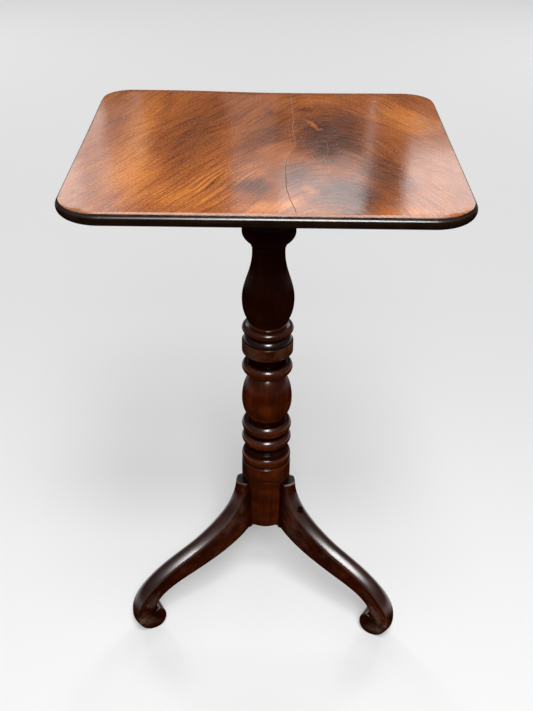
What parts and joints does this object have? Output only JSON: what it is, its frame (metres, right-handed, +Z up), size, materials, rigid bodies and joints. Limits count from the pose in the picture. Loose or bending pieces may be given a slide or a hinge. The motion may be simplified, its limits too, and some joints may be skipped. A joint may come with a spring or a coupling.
{
  "type": "tripod side table",
  "caption": "Tip-up tripod side table in mahogany: rounded rectangular top on a turned column with downswept scroll-foot legs.",
  "frame": {"origin": "on the floor under the centre of the table's plan box; the column axis lies 3.2 mm to the right of it and 1 mm in front", "axes": "+Z up; +Y from the pictured front to the back leg; +X to the viewer's right"},
  "size_m": [0.442, 0.4191, 0.698],
  "materials": {
    "top_mahogany": "figured mahogany, french polished, orange-red brown",
    "column_mahogany": "dark red-brown mahogany, turned and polished",
    "leg_mahogany": "dark red-brown mahogany, polished, worn arrises",
    "plain_wood": "unpolished, planed",
    "iron": "wrought, blackened",
    "steel": "dull, hand-filed",
    "brass": "aged, rubbed bright at the knob"
  },
  "bodies": {
    "stand": {"column": "column_mahogany", "tenon_wedge": "plain_wood", "leg_front_left": "leg_mahogany", "leg_front_right": "leg_mahogany", "leg_back": "leg_mahogany", "leg_screw": "steel", "base_brace": "iron", "brace_screw_1": "steel", "brace_screw_2": "steel", "brace_screw_3": "steel", "brace_screw_4": "steel", "brace_screw_5": "steel", "brace_screw_6": "steel", "brace_screw_7": "steel", "pivot_block": "plain_wood", "pivot_pin_left": "iron", "pivot_pin_right": "iron", "keeper_plate": "brass", "keeper_screw_1": "brass", "keeper_screw_2": "brass"},
    "top": {"top_board": "top_mahogany", "bearer_left": "plain_wood", "bearer_right": "plain_wood", "bearer_screw_1": "steel", "bearer_screw_2": "steel", "bearer_screw_3": "steel", "bearer_screw_4": "steel", "bearer_screw_5": "steel", "bearer_screw_6": "steel", "catch_plate": "brass", "catch_case": "brass", "catch_screw_1": "brass", "catch_screw_2": "brass", "catch_screw_3": "brass", "catch_screw_4": "brass"},
    "bolt": {"catch_bolt": "brass", "bolt_knob": "brass"}
  },
  "joints": [
    {"name": "top_tilt", "type": "hinge", "parent": "stand", "child": "top", "pos_m": [0.0032, -0.0473, 0.668], "axis": [1, 0, 0], "range_deg": [0, 90]},
    {"name": "catch_slide", "type": "slide", "parent": "top", "child": "bolt", "axis": [0, -1, 0], "range_m": [0, 0.009]}
  ]
}
